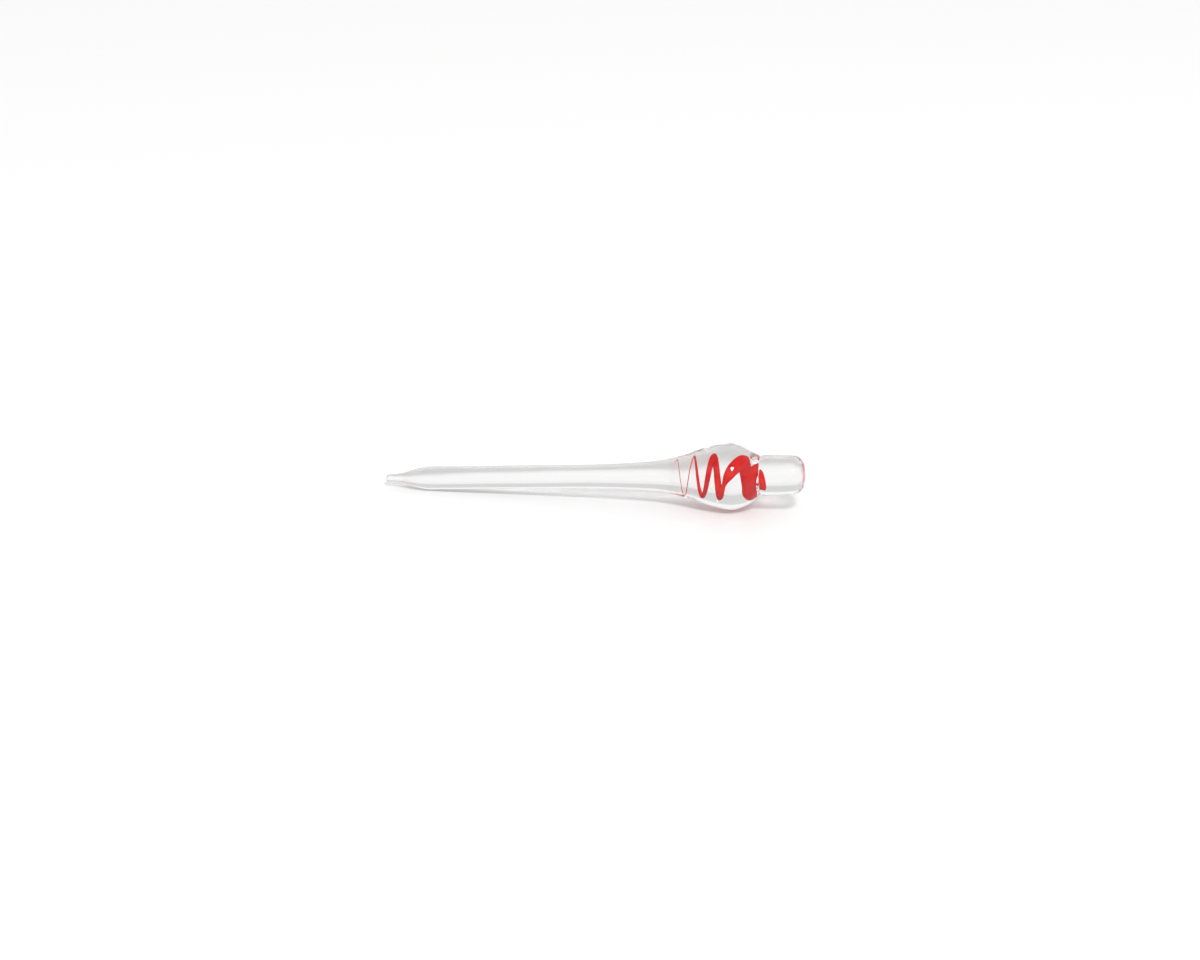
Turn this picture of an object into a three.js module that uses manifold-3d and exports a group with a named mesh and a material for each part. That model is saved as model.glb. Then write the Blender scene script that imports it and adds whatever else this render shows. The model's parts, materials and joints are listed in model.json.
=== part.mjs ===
// Solid clear glass dabbing wand, made at the lamp from borosilicate rod and lying on its side.
// The working tip is at -X and the thick stub at +X. It rests on the shoulder of its rod and on its bulb.
// Fused lengths of glass are separate solids with a hair gap between them. Millimetres, +Z up.

import * as THREE from 'three';
import { mergeVertices } from 'three/addons/utils/BufferGeometryUtils.js';
import { ParametricGeometry } from 'three/addons/geometries/ParametricGeometry.js';
import Module from 'manifold-3d';

const wasm = await Module();
wasm.setup();

// ---- Driving dimensions. Places along the wand are measured from its tip. ----

const overallLength = 124;
const tipBeadRadius = 1.25;
const pointStart = 2.2;
const rodStart = 15;
const rodEnd = 60;
const bulbStart = 85.4;
const crease = 111.3;
const jointGap = 0.3;

// Outline from the drawn point to the crease behind the bulb: place along the wand, then radius.
const outline = [
  [2.2, 1.15], [5, 1.6], [8.5, 2.62], [12, 3.33], [15, 3.43],
  [52, 3.45], [66, 3.62], [76, 4.05], [83, 4.77], [89, 6.15], [95, 8.2],
  [99, 9.2], [103.2, 9.6], [106.6, 8.5], [109, 7.15], [crease, 5.5],
];

// The bulb sagged a little below the rod's axis while it was hot.
const bulbSag = 0.45;
const sagFrom = 91;
const sagTo = 104;
const sagEases = 108.5;

// Stub: its root, its full radius and the fire-polished end round a small flat.
const stubRadius = 5.9;
const stubShoulder = 1.6;
const stubTaperStart = 117.5;
const stubRoundStart = 120.6;
const stubRoundRadius = 5.62;
const endFlatRadius = 2.2;

// Red trail, wound by hand from a hairline at the neck to a thick end just behind the crease.
// Place along the wand, then turns wound by there. It starts at the top and goes down the back.
const trailPhase = 2.03;
const trailWinding = [
  [86.3, 0], [89.3, 0.52], [92.3, 1.06], [96, 1.7], [99.5, 2.42], [101, 2.72], [102.5, 2.94],
  [104, 3.11], [105.5, 3.37], [109, 4.03], [112.6, 4.57],
];

// Place along the wand, then radius of the coil that the trail's middle follows.
const trailRing = [
  [86.3, 2.76], [92, 4.16], [96, 3.38], [99.5, 4.2], [101, 2], [102.5, 2.23], [104, 2.76],
  [105.5, 3.63], [109, 1.8], [112.6, 3.14],
];

// Place along the wand, then how far the coil's middle has drifted from the wand's, to the back and up.
const trailDriftBack = [[86.3, 0], [99.5, -0.5], [112.6, -0.6]];
const trailDriftUp = [[86.3, 0], [99.5, -0.32], [112.6, 0.57]];

// Place along the wand, then half the trail's thickness, which is uneven.
const trailGirth = [
  [86.3, 0.12], [89.3, 0.13], [92.3, 0.18], [94.5, 0.43], [97.5, 0.8], [100, 0.89], [101.3, 0.6],
  [102.5, 1.24], [104, 1.54], [106, 1.77], [108, 1.84], [110, 0.74], [112.6, 1.49],
];
const trailStart = 86.3;
const trailEnd = 112.6;
const trailEndRound = 1.3;
const trailHollow = 0.55;
const trailSteps = 96;
const trailSides = 8;

// Gather of clear glass that the trail is wound on: place along the wand, then radius.
const gather = [[bulbStart, 3.1], [94, 3.8], [103.3, 3.3], [crease, 2.5]];

const rodSides = 20;
const bulbSides = 28;

// ---- Shape of the wand ----

// Height at one place of the smooth curve through stations of place and height.
function curveAt(stations, place) {
  const last = stations.length - 1;
  let i = 0;
  while (i < last - 1 && place > stations[i + 1][0]) i += 1;
  const slope = (k) => {
    const before = stations[Math.max(k - 1, 0)];
    const after = stations[Math.min(k + 1, last)];
    return (after[1] - before[1]) / (after[0] - before[0]);
  };
  const [start, startHeight] = stations[i];
  const [end, endHeight] = stations[i + 1];
  const span = end - start;
  const t = (place - start) / span;
  const t2 = t * t;
  const t3 = t2 * t;
  return (2 * t3 - 3 * t2 + 1) * startHeight + (t3 - 2 * t2 + t) * span * slope(i)
    + (3 * t2 - 2 * t3) * endHeight + (t3 - t2) * span * slope(i + 1);
}

// Radius of the wand between its drawn point and the crease.
function radiusAt(place) {
  return curveAt(outline, place);
}

function sagAt(place) {
  const hang = THREE.MathUtils.smoothstep(place, sagFrom, sagTo);
  return bulbSag * hang * (1 - THREE.MathUtils.smoothstep(place, sagEases, crease));
}

function gatherRadiusAt(place) {
  return curveAt(gather, place);
}

// Evenly spaced points of a radius function, as lathe points: radius, then place.
function latheRun(radius, start, end, steps) {
  const points = [];
  for (let i = 0; i <= steps; i += 1) {
    const place = THREE.MathUtils.lerp(start, end, i / steps);
    points.push(new THREE.Vector2(radius(place), place));
  }
  return points;
}

// ---- Making solids ----

// Turns lathe points round the wand's axis, which becomes +X, with a column of corners at the bottom.
function turned(points, sides) {
  const geometry = new THREE.LatheGeometry(points, sides);
  geometry.rotateZ(-Math.PI / 2);
  return welded(geometry);
}

function welded(geometry) {
  geometry.deleteAttribute('normal');
  geometry.deleteAttribute('uv');
  return mergeVertices(geometry, 1e-4);
}

// Lowers each corner by the bulb's sag at its place.
function sagged(geometry) {
  const corners = geometry.getAttribute('position');
  for (let i = 0; i < corners.count; i += 1) {
    corners.setZ(i, corners.getZ(i) - sagAt(corners.getX(i)));
  }
  return geometry;
}

function toSolid(geometry) {
  return new wasm.Manifold(new wasm.Mesh({
    numProp: 3,
    vertProperties: new Float32Array(geometry.getAttribute('position').array),
    triVerts: new Uint32Array(geometry.getIndex().array),
  }));
}

function toGeometry(solid) {
  const mesh = solid.getMesh();
  const geometry = new THREE.BufferGeometry();
  geometry.setAttribute('position', new THREE.BufferAttribute(mesh.vertProperties, 3));
  geometry.setIndex(new THREE.BufferAttribute(mesh.triVerts, 1));
  return geometry;
}

function closedOnAxis(points) {
  const first = points[0];
  const last = points[points.length - 1];
  return [new THREE.Vector2(0, first.y), ...points, new THREE.Vector2(0, last.y)];
}

// ---- Pieces ----

// Ball at the working tip, melted back from the drawn point.
function tipBead() {
  const cut = pointStart - jointGap;
  const points = latheRun(
    (place) => Math.sqrt(Math.max(tipBeadRadius ** 2 - (place - tipBeadRadius) ** 2, 0)), 0, cut, 8);
  points.push(new THREE.Vector2(0, cut));
  return turned(points, rodSides);
}

function drawnPoint() {
  return turned(closedOnAxis(latheRun(radiusAt, pointStart, rodStart, 12)), rodSides);
}

function shaftRod() {
  return turned(closedOnAxis(latheRun(radiusAt, rodStart + jointGap, rodEnd, 6)), rodSides);
}

// Neck that swells from the rod to the front of the bulb.
function flaredNeck() {
  return turned(closedOnAxis(latheRun(radiusAt, rodEnd + jointGap, bulbStart - jointGap, 12)), bulbSides);
}

// Short length of thicker rod behind the crease, with its end rounded in the flame.
// The end of the red trail is melted into its root.
function stubRod() {
  const start = crease + jointGap / 2;
  const rootRadius = radiusAt(crease);
  const root = latheRun(
    (place) => {
      const t = (place - start) / stubShoulder;
      return THREE.MathUtils.lerp(rootRadius, stubRadius, Math.sqrt(1 - (1 - t) ** 2));
    }, start, start + stubShoulder, 5);
  const rounding = [];
  for (let i = 0; i <= 8; i += 1) {
    const angle = (i / 8) * Math.PI / 2;
    rounding.push(new THREE.Vector2(
      endFlatRadius + (stubRoundRadius - endFlatRadius) * Math.cos(angle),
      stubRoundStart + (overallLength - stubRoundStart) * Math.sin(angle)));
  }
  const taper = [new THREE.Vector2(stubRadius, stubTaperStart)];
  const blank = turned(closedOnAxis([...root, ...taper, ...rounding]), bulbSides);
  return toGeometry(toSolid(blank).subtract(toSolid(trail(jointGap))));
}

// A point of the red trail's skin, grown by a clearance: u runs along the trail, v round its section.
// The section stays clear of the coil's middle, so that the trail never crosses itself there.
function trailSkin(clearance) {
  return (u, v, target) => {
    const place = THREE.MathUtils.lerp(trailStart - clearance, trailEnd + clearance, u);
    const wound = THREE.MathUtils.clamp(place, trailStart, trailEnd);
    const startRound = Math.sqrt(Math.min(1, (place - trailStart + clearance) / 0.3));
    const endRound = Math.sqrt(Math.min(1, (trailEnd + clearance - place) / trailEndRound));
    const reach = (curveAt(trailGirth, wound) + clearance) * startRound * endRound;
    const ring = curveAt(trailRing, wound);
    const turn = trailPhase - 2 * Math.PI * curveAt(trailWinding, wound);
    const angle = -v * 2 * Math.PI;
    const out = Math.max(ring + reach * Math.cos(angle), trailHollow - clearance);
    target.set(
      place + reach * Math.sin(angle),
      out * Math.cos(turn) + curveAt(trailDriftBack, wound),
      out * Math.sin(turn) + curveAt(trailDriftUp, wound) - sagAt(wound));
  };
}

function trail(clearance) {
  return welded(new ParametricGeometry(trailSkin(clearance), trailSteps, trailSides));
}

function redSpiral() {
  return trail(0);
}

// Gather that the trail is wound on, grooved by it.
function bulbCore() {
  const radius = (place) => gatherRadiusAt(place) - jointGap / 2;
  const points = closedOnAxis(latheRun(radius, bulbStart, crease - jointGap / 2, 8));
  const blank = sagged(turned(points, bulbSides));
  return toGeometry(toSolid(blank).subtract(toSolid(trail(jointGap))));
}

// Clear glass laid over the core and the trail, open at the neck and at the crease.
function bulbCasing() {
  const radius = (place) => gatherRadiusAt(place) + jointGap / 2;
  const end = crease - jointGap / 2;
  const outside = latheRun(radiusAt, bulbStart, end, 18);
  const inside = latheRun(radius, bulbStart, end, 8).reverse();
  const blank = sagged(turned([...outside, ...inside, outside[0].clone()], bulbSides));
  return toGeometry(toSolid(blank).subtract(toSolid(trail(jointGap))));
}

// ---- Materials ----

function clearGlass() {
  return new THREE.MeshStandardMaterial({
    color: 0xeef2f1, roughness: 0.03, metalness: 0, transparent: true, opacity: 0.35,
  });
}

function redGlass() {
  return new THREE.MeshStandardMaterial({ color: 0xe0241e, roughness: 0.25, metalness: 0 });
}

// ---- Assembly ----

const pieces = [
  ['tip_bead', tipBead(), clearGlass()],
  ['drawn_point', drawnPoint(), clearGlass()],
  ['shaft_rod', shaftRod(), clearGlass()],
  ['flared_neck', flaredNeck(), clearGlass()],
  ['bulb_core', bulbCore(), clearGlass()],
  ['red_spiral', redSpiral(), redGlass()],
  ['bulb_casing', bulbCasing(), clearGlass()],
  ['stub_rod', stubRod(), clearGlass()],
];

const wand = new THREE.Group();
for (const [name, geometry, material] of pieces) {
  const mesh = new THREE.Mesh(geometry, material);
  mesh.name = name;
  wand.add(mesh);
}

// Slope of the line that touches the wand from below at its shoulder and at its bulb.
function restingTilt() {
  const step = 0.1;
  let tilt = Infinity;
  for (let shoulder = pointStart; shoulder < rodEnd; shoulder += step) {
    let steepest = -Infinity;
    for (let place = rodEnd; place < crease; place += step) {
      const drop = radiusAt(place) + sagAt(place) - radiusAt(shoulder);
      steepest = Math.max(steepest, Math.atan2(drop, place - shoulder));
    }
    tilt = Math.min(tilt, steepest);
  }
  return tilt;
}

wand.rotation.y = -restingTilt();

// Origin on the surface that the wand lies on, under the middle of its length.
const group = new THREE.Group();
group.add(wand);
const box = new THREE.Box3().setFromObject(group, true);
wand.position.set(-(box.min.x + box.max.x) / 2, -(box.min.y + box.max.y) / 2, -box.min.z);

export default group;
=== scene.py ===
"""A solid clear glass dabbing wand with a red spiral in its bulb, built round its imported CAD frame.

The real wand is one fused mass of glass. Each length of glass is a closed mesh here, its outer skin in clear glass
and the faces where it is fused to its neighbours in a clear joint that bends no light, so light crosses the wand
as if it were whole. Places along the wand are in millimetres from its tip, as in the CAD.
"""

import json
import math

import bpy
import numpy as np
from mathutils import Matrix, Vector


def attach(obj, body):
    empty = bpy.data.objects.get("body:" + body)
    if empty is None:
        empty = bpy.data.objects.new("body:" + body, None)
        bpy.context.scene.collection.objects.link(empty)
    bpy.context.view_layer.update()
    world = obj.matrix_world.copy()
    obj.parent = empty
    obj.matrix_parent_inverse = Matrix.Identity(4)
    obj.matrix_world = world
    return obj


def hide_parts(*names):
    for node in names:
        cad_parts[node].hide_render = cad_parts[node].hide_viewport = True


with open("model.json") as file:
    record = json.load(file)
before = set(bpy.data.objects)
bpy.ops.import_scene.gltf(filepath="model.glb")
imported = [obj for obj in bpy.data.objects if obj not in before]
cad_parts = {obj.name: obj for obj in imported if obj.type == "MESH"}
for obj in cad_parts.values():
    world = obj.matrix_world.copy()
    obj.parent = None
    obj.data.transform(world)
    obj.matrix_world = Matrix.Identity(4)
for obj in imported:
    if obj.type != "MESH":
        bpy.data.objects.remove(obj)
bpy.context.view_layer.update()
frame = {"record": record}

MM = 0.001

# ---- The wand's dimensions, the same as the CAD's ----

OVERALL_LENGTH = 124.0
TIP_RADIUS = 1.25
TIP_BEAD_ARC = 105
POINT_START = 2.2
ROD_START = 15.0
ROD_END = 60.0
BULB_START = 85.4
CREASE = 111.3

# Place along the wand, then radius.
OUTLINE = np.array([
    (2.2, 1.15), (5, 1.6), (8.5, 2.62), (12, 3.33), (15, 3.43),
    (52, 3.45), (66, 3.62), (76, 4.05), (83, 4.77), (89, 6.15), (95, 8.2),
    (99, 9.2), (103.2, 9.6), (106.6, 8.5), (109, 7.15), (CREASE, 5.5),
])

BULB_SAG = 0.45
SAG_FROM = 91.0
SAG_TO = 104.0
SAG_EASES = 108.5

STUB_RADIUS = 5.9
STUB_SHOULDER = 1.6
STUB_TAPER_START = 117.5
STUB_TAPER_EASE = 2
STUB_ROUND_START = 120.6
STUB_ROUND_RADIUS = 5.62
END_FLAT_RADIUS = 2.2

# Red trail. Place along the wand, then turns wound by there. It starts at the top and goes down the back.
TRAIL_PHASE = 2.03
TRAIL_WINDING = np.array([
    (86.3, 0.0), (89.3, 0.52), (92.3, 1.06), (96, 1.70), (99.5, 2.42), (101, 2.72), (102.5, 2.94),
    (104, 3.11), (105.5, 3.37), (109, 4.03), (112.6, 4.57),
])

# Place along the wand, then radius of the coil that the trail's middle follows.
TRAIL_RING = np.array([
    (86.3, 2.76), (92, 4.16), (96, 3.38), (99.5, 4.2), (101, 2.0), (102.5, 2.23), (104, 2.76),
    (105.5, 3.63), (109, 1.8), (112.6, 3.14),
])

# Place along the wand, then how far the coil's middle has drifted from the wand's, to the back and up.
TRAIL_DRIFT_BACK = np.array([(86.3, 0), (99.5, -0.5), (112.6, -0.6)])
TRAIL_DRIFT_UP = np.array([(86.3, 0), (99.5, -0.32), (112.6, 0.57)])

# Place along the wand, then half the trail's thickness: a hairline at first, then thick and uneven.
TRAIL_GIRTH = np.array([
    (86.3, 0.08), (89.3, 0.11), (92.3, 0.18), (94.5, 0.43), (97.5, 0.8), (100, 0.89), (101.3, 0.6),
    (102.5, 1.24), (104, 1.54), (106, 1.77), (108, 1.84), (110, 0.74), (112.6, 1.49),
])
TRAIL_START = 86.7
TRAIL_END = 112.6
TRAIL_END_ROUND = 1.3
TRAIL_HOLLOW = 0.5
TRAIL_STEPS = 900
TRAIL_SIDES = 28

# Place along the wand, then radius of the gather that the trail is wound on.
GATHER = np.array([(BULB_START, 3.1), (94, 3.8), (103.3, 3.3), (CREASE, 2.5)])

# Unevenness of the skin: share of the radius, waves round the wand, radians along it per mm, and starting angle.
SKIN_WAVES = [(0.0035, 2, 0.11, 0.6), (0.0025, 3, -0.23, 2.1)]
SKIN_RINGS = (0.0020, 0.62, 0.4)

# How finely the glass is meshed: corners round the wand, mm between rings, and rings on the curved ends.
SIDES = 160
SKIN_STEP = 0.25
TIP_RINGS = 13
SHOULDER_RINGS = 10
END_RINGS = 20
ON_AXIS = 1e-6


def smoothstep(value, low, high):
    share = np.clip((value - low) / (high - low), 0, 1)
    return share * share * (3 - 2 * share)


def curve_at(stations, place):
    """Height at one place of the smooth curve through stations of (place, height)."""
    places, heights = stations[:, 0], stations[:, 1]
    last = len(places) - 1
    before = np.maximum(np.arange(last + 1) - 1, 0)
    after = np.minimum(np.arange(last + 1) + 1, last)
    slopes = (heights[after] - heights[before]) / (places[after] - places[before])
    i = int(np.clip(np.searchsorted(places, place, side="right") - 1, 0, last - 1))
    span = places[i + 1] - places[i]
    t = (place - places[i]) / span
    return ((2 * t**3 - 3 * t**2 + 1) * heights[i] + (t**3 - 2 * t**2 + t) * span * slopes[i]
            + (3 * t**2 - 2 * t**3) * heights[i + 1] + (t**3 - t**2) * span * slopes[i + 1])


def sag_at(place):
    """How far the bulb hangs below the rod's axis."""
    return BULB_SAG * smoothstep(place, SAG_FROM, SAG_TO) * (1 - smoothstep(place, SAG_EASES, CREASE))


def radius_at(place):
    """Radius of the wand between its drawn point and the crease."""
    return curve_at(OUTLINE, place)


def gather_radius_at(place):
    """Radius of the gather that the red trail is wound on."""
    return curve_at(GATHER, place)


def waver(place, angle):
    """The slight unevenness of glass turned by hand in a flame, as a factor on its radius."""
    factor = 1
    for share, waves, per_mm, start in SKIN_WAVES:
        factor = factor + share * np.sin(waves * angle + per_mm * place + start)
    share, per_mm, start = SKIN_RINGS
    return factor + share * np.sin(per_mm * place + np.cos(angle + start))


# ---- Wand space to the row frame ----

mount = frame["record"]["mounts"][0]
along = Vector(mount["axis"]).normalized()
across = Vector((0, 1, 0))
upward = along.cross(across)
tip = Vector(mount["pos_m"]) - along * OVERALL_LENGTH * MM
WAND = Matrix.Translation(tip) @ Matrix((along, across, upward)).transposed().to_4x4() @ Matrix.Scale(MM, 4)


# ---- Materials. Noise scales are per metre. ----

CLEAR_GLASS_COLOR = (0.912, 0.918, 0.915, 1)
RIPPLE_SCALE = (60, 260, 260)
RIPPLE_STRENGTH = 0.10
RIPPLE_DEPTH = 0.0002

RED_DARK = (0.92, 0.006, 0.004, 1)
RED_BRIGHT = (1.0, 0.016, 0.012, 1)
RED_STREAK_SCALE = 420.0

FLOOR_COLOR = (0.93, 0.925, 0.925, 1)


def new_material(name):
    material = bpy.data.materials.new(name)
    material.use_nodes = True
    nodes = material.node_tree.nodes
    return material, material.node_tree, nodes["Principled BSDF"], nodes["Material Output"]


def clear_glass_material():
    """Fire-polished borosilicate: smooth, with faint ripples along the pull of the glass."""
    material, tree, shader, _ = new_material("clear_glass")
    shader.inputs["Base Color"].default_value = CLEAR_GLASS_COLOR
    shader.inputs["Roughness"].default_value = 0.0
    shader.inputs["IOR"].default_value = 1.5
    shader.inputs["Transmission Weight"].default_value = 1.0
    place = tree.nodes.new("ShaderNodeTexCoord")
    stretch = tree.nodes.new("ShaderNodeMapping")
    stretch.inputs["Scale"].default_value = RIPPLE_SCALE
    ripple = tree.nodes.new("ShaderNodeTexNoise")
    ripple.inputs["Scale"].default_value = 1.0
    ripple.inputs["Detail"].default_value = 2.0
    bump = tree.nodes.new("ShaderNodeBump")
    bump.inputs["Strength"].default_value = RIPPLE_STRENGTH
    bump.inputs["Distance"].default_value = RIPPLE_DEPTH
    tree.links.new(place.outputs["Object"], stretch.inputs["Vector"])
    tree.links.new(stretch.outputs["Vector"], ripple.inputs["Vector"])
    tree.links.new(ripple.outputs["Fac"], bump.inputs["Height"])
    tree.links.new(bump.outputs["Normal"], shader.inputs["Normal"])
    return material


def fused_joint_material():
    """Where two lengths of the same glass have melted together: nothing is seen there."""
    material, tree, shader, output = new_material("fused_joint")
    tree.nodes.remove(shader)
    clear = tree.nodes.new("ShaderNodeBsdfTransparent")
    tree.links.new(clear.outputs["BSDF"], output.inputs["Surface"])
    return material


def red_glass_material():
    """Opaque red glass, streaked a little darker along the trail, with no gloss because glass covers it."""
    material, tree, shader, _ = new_material("red_glass")
    shader.inputs["Roughness"].default_value = 0.5
    shader.inputs["Specular IOR Level"].default_value = 0.0
    place = tree.nodes.new("ShaderNodeTexCoord")
    streak = tree.nodes.new("ShaderNodeTexNoise")
    streak.inputs["Scale"].default_value = RED_STREAK_SCALE
    streak.inputs["Detail"].default_value = 3.0
    ramp = tree.nodes.new("ShaderNodeValToRGB")
    dark, bright = ramp.color_ramp.elements
    dark.position, dark.color = 0.3, RED_DARK
    bright.position, bright.color = 0.7, RED_BRIGHT
    tree.links.new(place.outputs["Object"], streak.inputs["Vector"])
    tree.links.new(streak.outputs["Fac"], ramp.inputs["Fac"])
    tree.links.new(ramp.outputs["Color"], shader.inputs["Base Color"])
    return material


CLEAR = clear_glass_material()
FUSED = fused_joint_material()
RED = red_glass_material()


# ---- Building meshes ----

def mesh_piece(name, vertices, faces, joint_faces, materials):
    """Makes a smooth piece from wand-space vertices. Faces numbered in joint_faces get the second material."""
    mesh = bpy.data.meshes.new(name)
    mesh.from_pydata([WAND @ Vector(v) for v in vertices], [], faces)
    for material in materials:
        mesh.materials.append(material)
    for index, face in enumerate(mesh.polygons):
        face.use_smooth = True
        face.material_index = 1 if index in joint_faces else 0
    mesh.validate()
    piece = bpy.data.objects.new(name, mesh)
    bpy.context.collection.objects.link(piece)
    return piece


def ring_vertices(place, radius, sag):
    """A ring of the wand's skin, a little uneven, as wand-space vertices."""
    angles = np.arange(SIDES) * 2 * math.pi / SIDES
    radii = radius * waver(place, angles)
    return [(place, r * math.cos(a), r * math.sin(a) - sag) for r, a in zip(radii, angles)]


def turned_piece(name, profile, closes_on_itself=False):
    """Turns a profile of (place, radius, sag, fused) round the axis.

    fused tells whether the band that ends at that place is a fused face. closes_on_itself makes a shell.
    """
    vertices, rings = [], []
    for place, radius, sag, _ in profile:
        start = len(vertices)
        if radius < ON_AXIS:
            vertices.append((place, 0.0, -sag))
            rings.append([start] * SIDES)
        else:
            vertices.extend(ring_vertices(place, radius, sag))
            rings.append(list(range(start, start + SIDES)))
    pairs = list(zip(range(len(rings) - 1), range(1, len(rings))))
    if closes_on_itself:
        pairs.append((len(rings) - 1, 0))
    faces, joint_faces = [], set()
    for first, second in pairs:
        for side in range(SIDES):
            after = (side + 1) % SIDES
            corners = [rings[first][side], rings[first][after], rings[second][after], rings[second][side]]
            face = list(dict.fromkeys(corners))
            if profile[second][3]:
                joint_faces.add(len(faces))
            faces.append(face)
    piece = mesh_piece(name, vertices, faces, joint_faces, [CLEAR, FUSED])
    sharpen_rims(piece)
    return piece


def sharpen_rims(piece):
    """Keeps the smooth skin's shading apart from the flat fused faces."""
    mesh = piece.data
    kinds = {}
    for face in mesh.polygons:
        for key in face.edge_keys:
            kinds.setdefault(key, set()).add(face.material_index)
    for edge in mesh.edges:
        edge.use_edge_sharp = len(kinds[edge.key]) > 1


def skin_places(start, end):
    """Evenly spaced places for the skin's rings, both ends included."""
    count = max(2, round((end - start) / SKIN_STEP))
    return np.linspace(start, end, count + 1)


def solid_length(name, start, end):
    """A solid length of the wand between two fused ends."""
    profile = [(start, 0, sag_at(start), True)]
    for index, place in enumerate(skin_places(start, end)):
        profile.append((place, radius_at(place), sag_at(place), index == 0))
    profile.append((end, 0, sag_at(end), True))
    return turned_piece(name, profile)


def tip_bead():
    """The ball at the tip: a round nose that runs into the drawn point."""
    profile = []
    join_radius = radius_at(POINT_START)
    for turn in np.linspace(0, 1, TIP_RINGS):
        angle = turn * math.radians(TIP_BEAD_ARC)
        place = TIP_RADIUS * (1 - math.cos(angle))
        profile.append((place, TIP_RADIUS * math.sin(angle), 0, False))
    profile.append((POINT_START, join_radius, 0, False))
    profile.append((POINT_START, 0, 0, True))
    return turned_piece("tip_bead_glass", profile)


def stub_rod():
    """The thicker rod behind the crease: shoulder, slight taper, and round end with a small flat."""
    root_radius = radius_at(CREASE)
    profile = [(CREASE, 0, 0, True), (CREASE, root_radius, 0, True)]
    for turn in np.linspace(0, 1, SHOULDER_RINGS)[1:]:
        angle = turn * math.pi / 2
        place = CREASE + STUB_SHOULDER * (1 - math.cos(angle))
        profile.append((place, root_radius + (STUB_RADIUS - root_radius) * math.sin(angle), 0, False))
    for place in skin_places(CREASE + STUB_SHOULDER, STUB_ROUND_START)[1:]:
        fall = smoothstep(place, STUB_TAPER_START - STUB_TAPER_EASE, STUB_ROUND_START + STUB_TAPER_EASE)
        profile.append((place, STUB_RADIUS - (STUB_RADIUS - STUB_ROUND_RADIUS) * fall, 0, False))
    reach = profile[-1][1] - END_FLAT_RADIUS
    for turn in np.linspace(0, 1, END_RINGS)[1:]:
        angle = turn * math.pi / 2
        place = STUB_ROUND_START + (OVERALL_LENGTH - STUB_ROUND_START) * math.sin(angle)
        profile.append((place, END_FLAT_RADIUS + reach * math.cos(angle), 0, False))
    profile.append((OVERALL_LENGTH, 0, 0, False))
    return turned_piece("stub_rod_glass", profile)


def bulb_core():
    """The gather inside the bulb, fused all over to the glass round it."""
    profile = [(BULB_START, 0, sag_at(BULB_START), True)]
    for place in skin_places(BULB_START, CREASE):
        profile.append((place, gather_radius_at(place), sag_at(place), True))
    profile.append((CREASE, 0, sag_at(CREASE), True))
    return turned_piece("bulb_core_glass", profile)


def bulb_casing():
    """The shell between the bulb's skin and its core."""
    places = skin_places(BULB_START, CREASE)
    outside = [(place, radius_at(place), sag_at(place), index == 0) for index, place in enumerate(places)]
    inside = [(place, gather_radius_at(place), sag_at(place), True) for place in places[::-1]]
    return turned_piece("bulb_casing_glass", outside + inside, closes_on_itself=True)


def trail_corner(place, angle):
    """A corner of the red trail's skin. angle goes round its section, which stays clear of the coil's middle."""
    rounding = math.sqrt(min(1, (TRAIL_END - place) / TRAIL_END_ROUND))
    rounding *= math.sqrt(min(1, (place - TRAIL_START) / TRAIL_GIRTH[0][1]))
    reach = curve_at(TRAIL_GIRTH, place) * rounding
    ring = curve_at(TRAIL_RING, place)
    turn = TRAIL_PHASE - 2 * math.pi * curve_at(TRAIL_WINDING, place)
    out = ring + max(reach * math.cos(angle), TRAIL_HOLLOW - ring)
    return (place + reach * math.sin(angle),
            out * math.cos(turn) + curve_at(TRAIL_DRIFT_BACK, place),
            out * math.sin(turn) + curve_at(TRAIL_DRIFT_UP, place) - sag_at(place))


def red_spiral():
    """The red trail, a closed tube whose section shrinks to nothing at both ends."""
    vertices, faces = [], []
    for place in np.linspace(TRAIL_START, TRAIL_END, TRAIL_STEPS + 1):
        for side in range(TRAIL_SIDES):
            vertices.append(trail_corner(place, side / TRAIL_SIDES * 2 * math.pi))
    for step in range(TRAIL_STEPS):
        for side in range(TRAIL_SIDES):
            a = step * TRAIL_SIDES + side
            b = step * TRAIL_SIDES + (side + 1) % TRAIL_SIDES
            faces.append([a, b, b + TRAIL_SIDES, a + TRAIL_SIDES])
    return mesh_piece("red_spiral_trail", vertices, faces, set(), [RED])


# ---- Pieces ----

def place_piece(piece, node):
    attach(piece, "root")
    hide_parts(node)


place_piece(tip_bead(), "tip_bead")
place_piece(solid_length("drawn_point_glass", POINT_START, ROD_START), "drawn_point")
place_piece(solid_length("shaft_rod_glass", ROD_START, ROD_END), "shaft_rod")
place_piece(solid_length("flared_neck_glass", ROD_END, BULB_START), "flared_neck")
place_piece(bulb_core(), "bulb_core")
place_piece(red_spiral(), "red_spiral")
place_piece(bulb_casing(), "bulb_casing")
place_piece(stub_rod(), "stub_rod")


# ---- Stage: floor, light and camera ----

CAMERA_AZIMUTH = 9.2
CAMERA_ELEVATION = 22.3
CAMERA_LENS = 100.0
CAMERA_SENSOR = 36.0
CAMERA_REACH = 20
FRAME_WIDTH = 0.350
AIM = Vector((0.0020, 0, 0.0061))

FLOOR_HALF = 2.0

# Surroundings: sine of the elevation, then brightness.
SKY = [(0.0, 0.85), (0.05, 0.69), (0.36, 0.69), (0.43, 1.0), (0.75, 1.0), (0.85, 0.55)]

# Light turns many corners inside solid glass before it comes out.
GLASS_BOUNCES = 64
DIFFUSE_BOUNCES = 6
EXPOSURE = 0.03


def direction(azimuth, elevation):
    """Unit vector from the object towards a place seen at this azimuth and elevation, in degrees."""
    a, e = math.radians(azimuth), math.radians(elevation)
    return Vector((math.sin(a) * math.cos(e), -math.cos(a) * math.cos(e), math.sin(e)))


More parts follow.
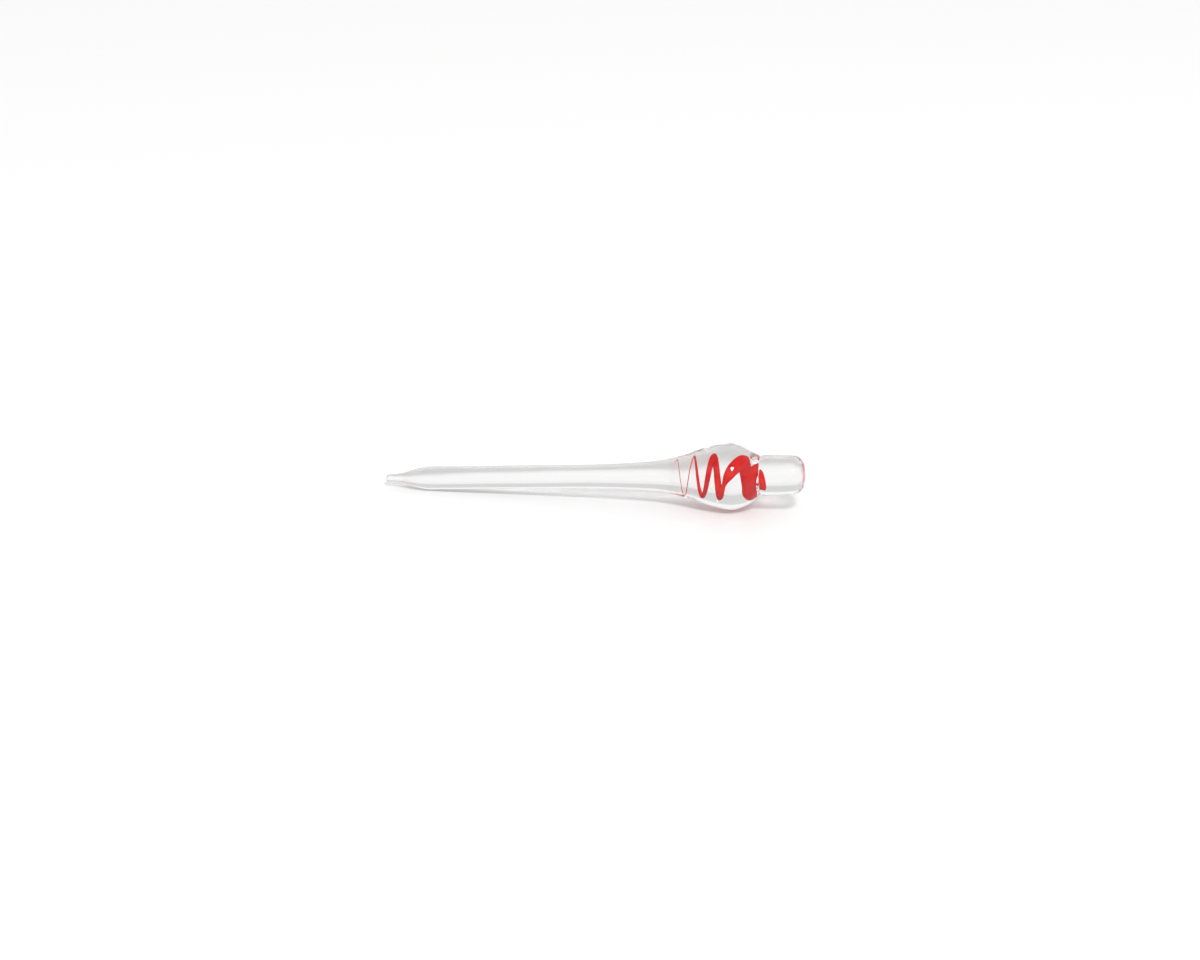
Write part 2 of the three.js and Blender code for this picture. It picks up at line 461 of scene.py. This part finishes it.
def make_camera():
    camera = bpy.data.objects.new("camera", bpy.data.cameras.new("camera"))
    bpy.context.collection.objects.link(camera)
    camera.data.lens = CAMERA_LENS
    camera.data.sensor_width = CAMERA_SENSOR
    camera.data.clip_end = CAMERA_REACH
    back = direction(CAMERA_AZIMUTH, CAMERA_ELEVATION)
    distance = FRAME_WIDTH * CAMERA_LENS / CAMERA_SENSOR
    camera.location = AIM + back * distance
    camera.rotation_mode = "QUATERNION"
    camera.rotation_quaternion = (-back).to_track_quat("-Z", "Y")
    bpy.context.scene.camera = camera


def floor_material():
    material, tree, shader, _ = new_material("white_acrylic")
    shader.inputs["Base Color"].default_value = FLOOR_COLOR
    shader.inputs["Roughness"].default_value = 0.25
    shader.inputs["Specular IOR Level"].default_value = 0.08
    return material


def make_floor():
    mesh = bpy.data.meshes.new("floor")
    corners = [(x * FLOOR_HALF, y * FLOOR_HALF, 0) for x, y in ((-1, -1), (1, -1), (1, 1), (-1, 1))]
    mesh.from_pydata(corners, [], [(0, 1, 2, 3)])
    mesh.materials.append(floor_material())
    floor = bpy.data.objects.new("floor", mesh)
    bpy.context.collection.objects.link(floor)


def soft_box(name, azimuth, elevation, distance, size, power):
    """A rectangular lamp that faces the origin."""
    light = bpy.data.lights.new(name, "AREA")
    light.shape = "RECTANGLE"
    light.size, light.size_y = size
    light.energy = power
    lamp = bpy.data.objects.new(name, light)
    bpy.context.collection.objects.link(lamp)
    toward = direction(azimuth, elevation)
    lamp.location = toward * distance
    lamp.rotation_mode = "QUATERNION"
    lamp.rotation_quaternion = toward.to_track_quat("Z", "Y")


def make_world():
    """Soft surroundings, graded by height: pale at the horizon, grey above it, bright higher up, grey overhead."""
    world = bpy.data.worlds.new("studio")
    bpy.context.scene.world = world
    world.use_nodes = True
    tree = world.node_tree
    background = tree.nodes["Background"]
    place = tree.nodes.new("ShaderNodeTexCoord")
    split = tree.nodes.new("ShaderNodeSeparateXYZ")
    ramp = tree.nodes.new("ShaderNodeValToRGB")
    tree.links.new(place.outputs["Generated"], split.inputs["Vector"])
    tree.links.new(split.outputs["Z"], ramp.inputs["Fac"])
    tree.links.new(ramp.outputs["Color"], background.inputs["Color"])
    elements = ramp.color_ramp.elements
    while len(elements) < len(SKY):
        elements.new(0.5)
    for element, (height, value) in zip(elements, SKY):
        element.position = height
        element.color = (value, value, value, 1)
    background.inputs["Strength"].default_value = 1.0


make_camera()
make_floor()
make_world()
soft_box("key_softbox", azimuth=27, elevation=50, distance=4.0, size=(0.736, 0.736), power=75)

scene = bpy.context.scene
scene.view_settings.view_transform = "Standard"
scene.view_settings.exposure = EXPOSURE
scene.cycles.max_bounces = GLASS_BOUNCES
scene.cycles.transmission_bounces = GLASS_BOUNCES
scene.cycles.transparent_max_bounces = GLASS_BOUNCES
scene.cycles.glossy_bounces = GLASS_BOUNCES
scene.cycles.diffuse_bounces = DIFFUSE_BOUNCES
